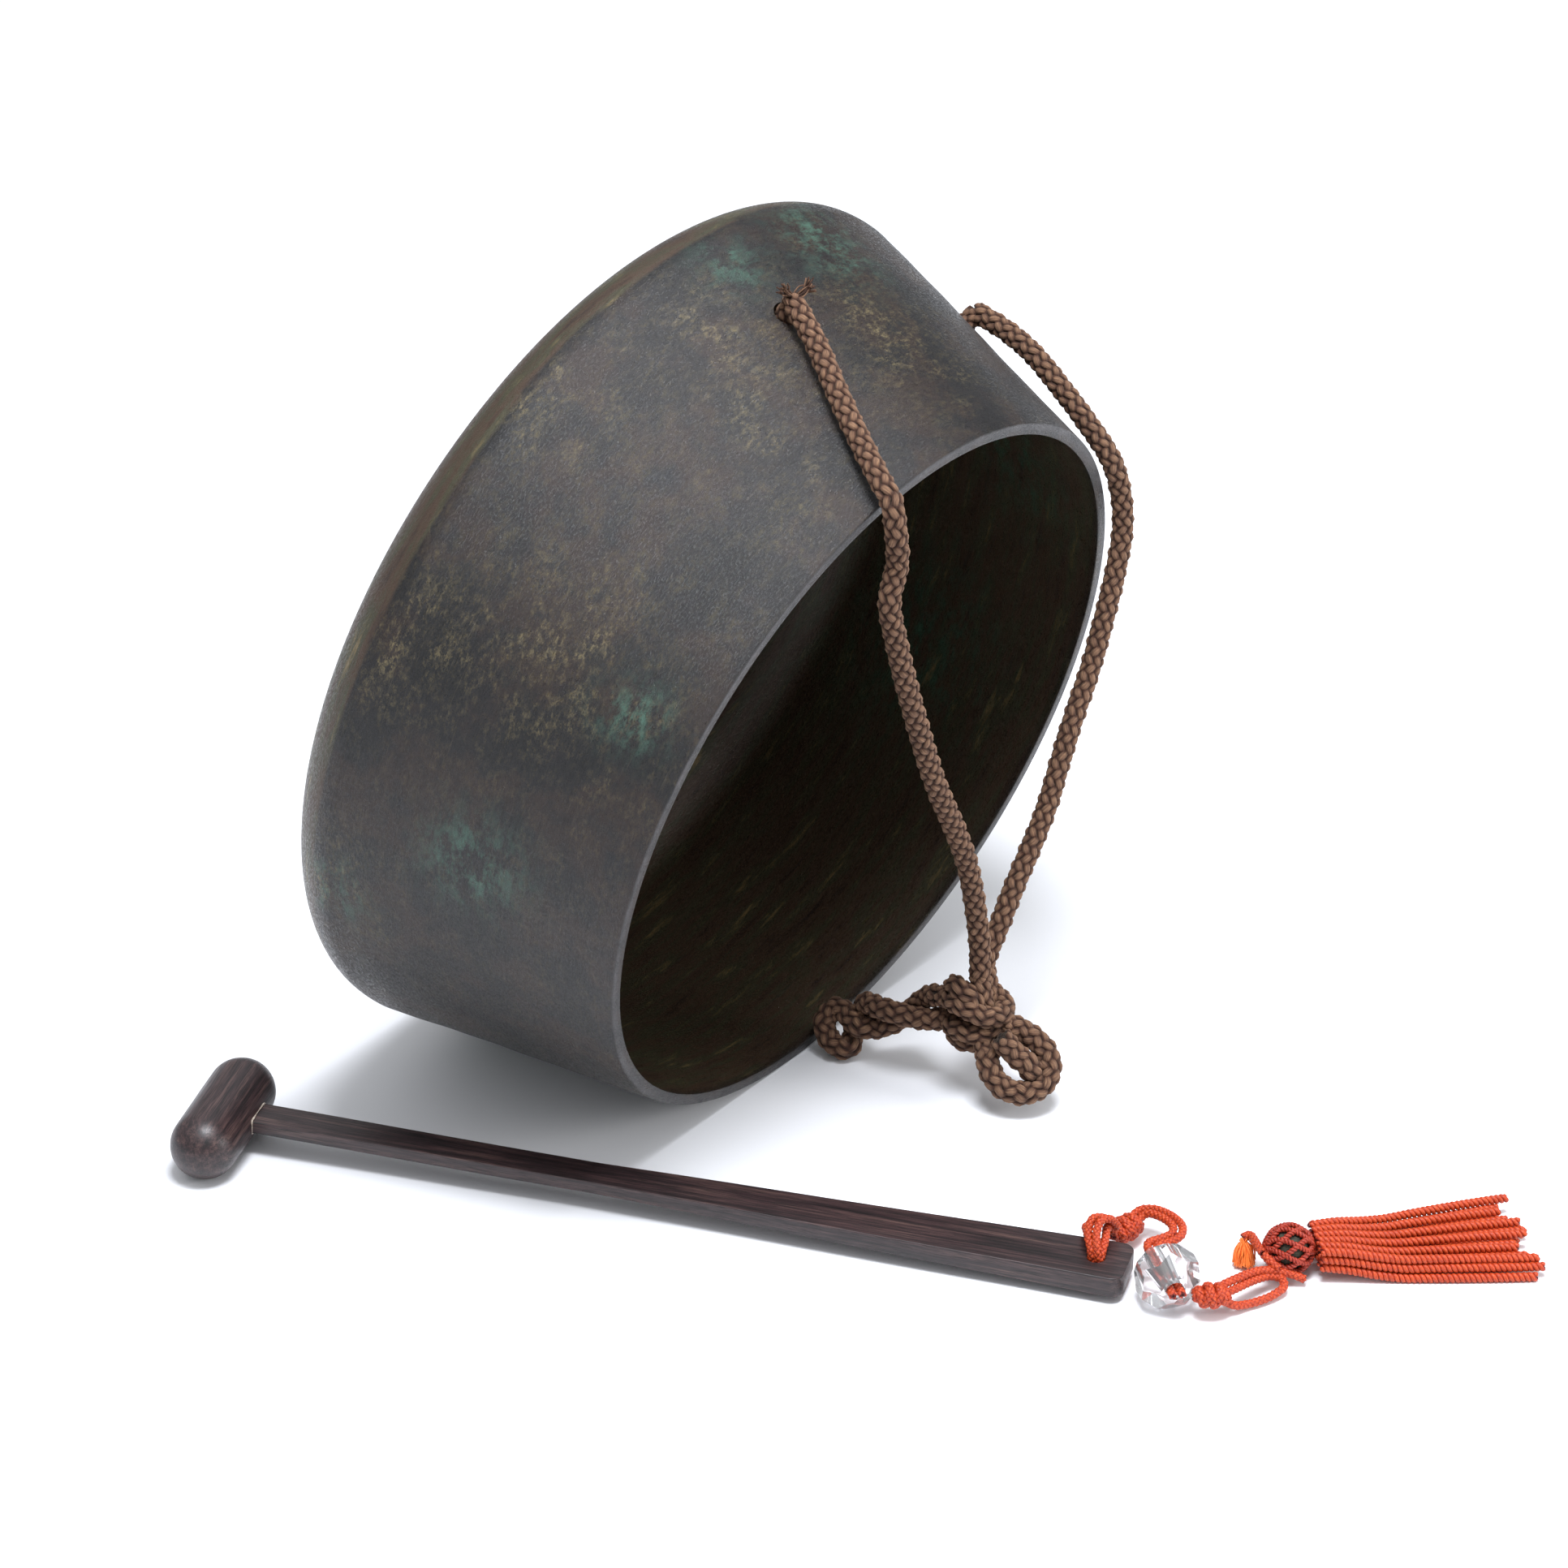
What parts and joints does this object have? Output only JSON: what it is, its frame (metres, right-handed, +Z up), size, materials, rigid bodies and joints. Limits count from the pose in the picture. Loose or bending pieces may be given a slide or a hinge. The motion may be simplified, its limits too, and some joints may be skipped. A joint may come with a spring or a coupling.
{
  "type": "temple bell",
  "caption": "Shallow round bronze bell with a flat struck face and flaring walls, hung by a braided cord through two holes, with a T-shaped wooden mallet on a tasselled wrist cord.",
  "frame": {"origin": "on the floor, at the middle of the box round the bell and its mallet", "axes": "+Z up; the bell lies on its side with its mouth facing -Y, tilted down by about 14 degrees; +X runs across the mouth"},
  "size_m": [0.3272, 0.3947, 0.2911],
  "materials": {
    "bronze": "dark brown-black patinated cast bronze, ochre mottling, green verdigris in patches, lip worn bright",
    "rope": "brown braided cotton cord, dry and slightly fuzzy",
    "rosewood": "dark purple-brown hardwood, hand-shaped and oiled to a low sheen",
    "silk": "orange-red twisted and braided silk",
    "crystal": "clear faceted and polished rock crystal",
    "core": "dark matt ball seen between the net's cords"
  },
  "bodies": {
    "bell": {"bell_shell": "bronze", "cord_in_hole_front": "rope", "cord_in_hole_rear": "rope", "cord_stopper_front": "rope", "cord_stopper_rear": "rope"},
    "hanging_cord": {"cord_strand_front": "rope", "cord_strand_rear": "rope", "cord_knot": "rope", "cord_loop_outer": "rope", "cord_loop_inner": "rope", "cord_tail": "rope"},
    "mallet": {"mallet_head": "rosewood", "mallet_handle": "rosewood", "wrist_hitch_left": "silk", "wrist_hitch_right": "silk", "wrist_hitch_under": "silk"},
    "wrist_cord": {"wrist_knot": "silk", "wrist_cord_left": "silk", "wrist_cord_right": "silk", "lower_knot": "silk", "lower_loop": "silk", "cut_end": "silk", "cut_end_tuft": "silk", "tassel_neck": "silk"},
    "bead": {"crystal_bead": "crystal"},
    "tassel": {"tassel_core": "core", "tassel_net": "silk", "tassel_cord_01": "silk", "tassel_cord_02": "silk", "tassel_cord_03": "silk", "tassel_cord_04": "silk", "tassel_cord_05": "silk", "tassel_cord_06": "silk", "tassel_cord_07": "silk", "tassel_cord_08": "silk", "tassel_cord_09": "silk", "tassel_cord_10": "silk", "tassel_cord_11": "silk", "tassel_cord_12": "silk", "tassel_cord_13": "silk", "tassel_cord_14": "silk", "tassel_cord_15": "silk", "tassel_cord_16": "silk", "tassel_cord_17": "silk", "tassel_cord_18": "silk"}
  },
  "joints": [
    {"name": "cord_swing", "type": "hinge", "parent": "bell", "child": "hanging_cord", "pos_m": [0.01021, 0.01326, 0.27788], "axis": [-0.9118, -0.1003, 0.3983], "range_deg": [0, 110]},
    {"name": "mallet_lift", "type": "slide", "parent": "bell", "child": "mallet", "axis": [-0.7805, -0.4002, 0.4803], "range_m": [0, 0.25]},
    {"name": "wrist_cord_swing", "type": "hinge", "parent": "mallet", "child": "wrist_cord", "pos_m": [-0.00838, -0.13168, 0.0062], "axis": [0, 0, 1], "range_deg": [0, 60]},
    {"name": "bead_spin", "type": "hinge", "parent": "wrist_cord", "child": "bead", "pos_m": [-0.02708, -0.15958, 0.00985], "axis": [-0.6198, -0.7847, 0], "continuous": true},
    {"name": "tassel_swing", "type": "hinge", "parent": "wrist_cord", "child": "tassel", "pos_m": [0.01002, -0.18038, 0.0083], "axis": [0, 0, 1], "range_deg": [-10, 35]}
  ]
}
